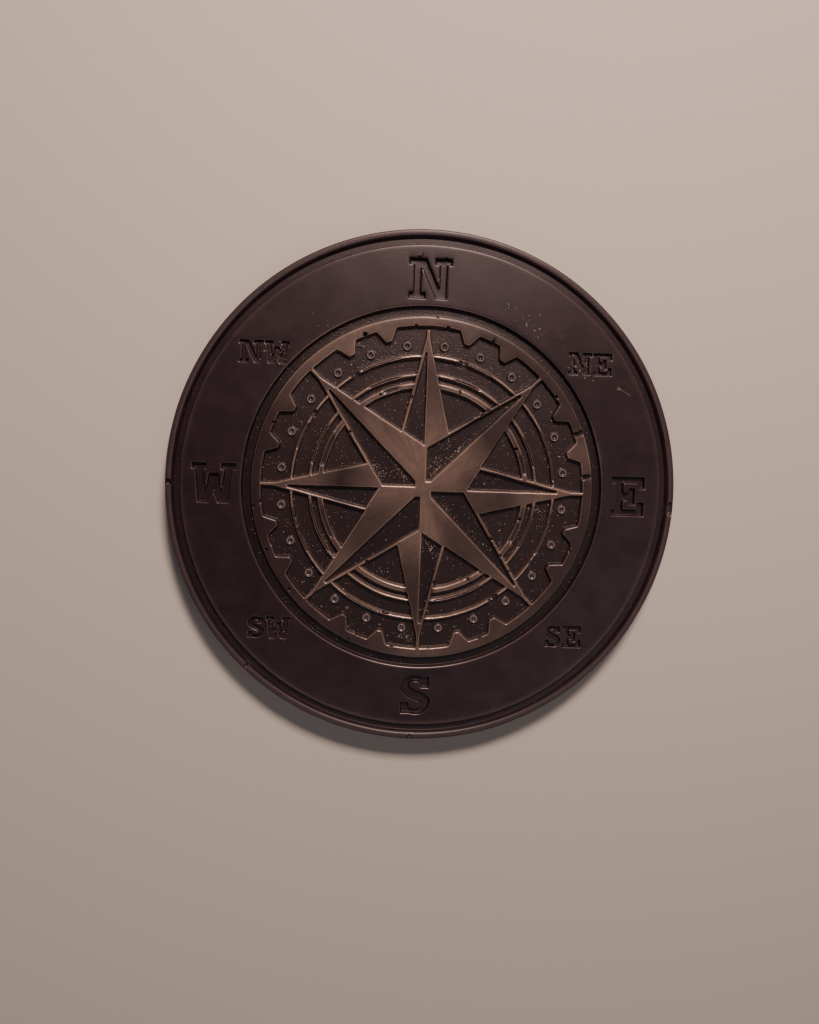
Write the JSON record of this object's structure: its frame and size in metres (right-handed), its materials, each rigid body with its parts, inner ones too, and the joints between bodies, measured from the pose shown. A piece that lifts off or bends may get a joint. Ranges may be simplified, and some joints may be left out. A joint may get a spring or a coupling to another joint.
{
  "type": "chocolate medallion",
  "caption": "Round flat chocolate medallion with a compass rose in low relief: a star inside ring ridges and a toothed ring, and a band of compass letters between two grooves.",
  "frame": {"origin": "middle of the flat back, which is the lowest face as the medallion lies", "axes": "+Z out of the decorated face, +Y towards the rose's north letter, +X towards its east letter"},
  "size_m": [0.15, 0.15, 0.009],
  "materials": {
    "dark_chocolate": "cast dark chocolate with a soft gloss, worn lighter on the raised faces and edges"
  },
  "bodies": {
    "root": {"medallion_disc": "dark_chocolate"}
  },
  "joints": []
}
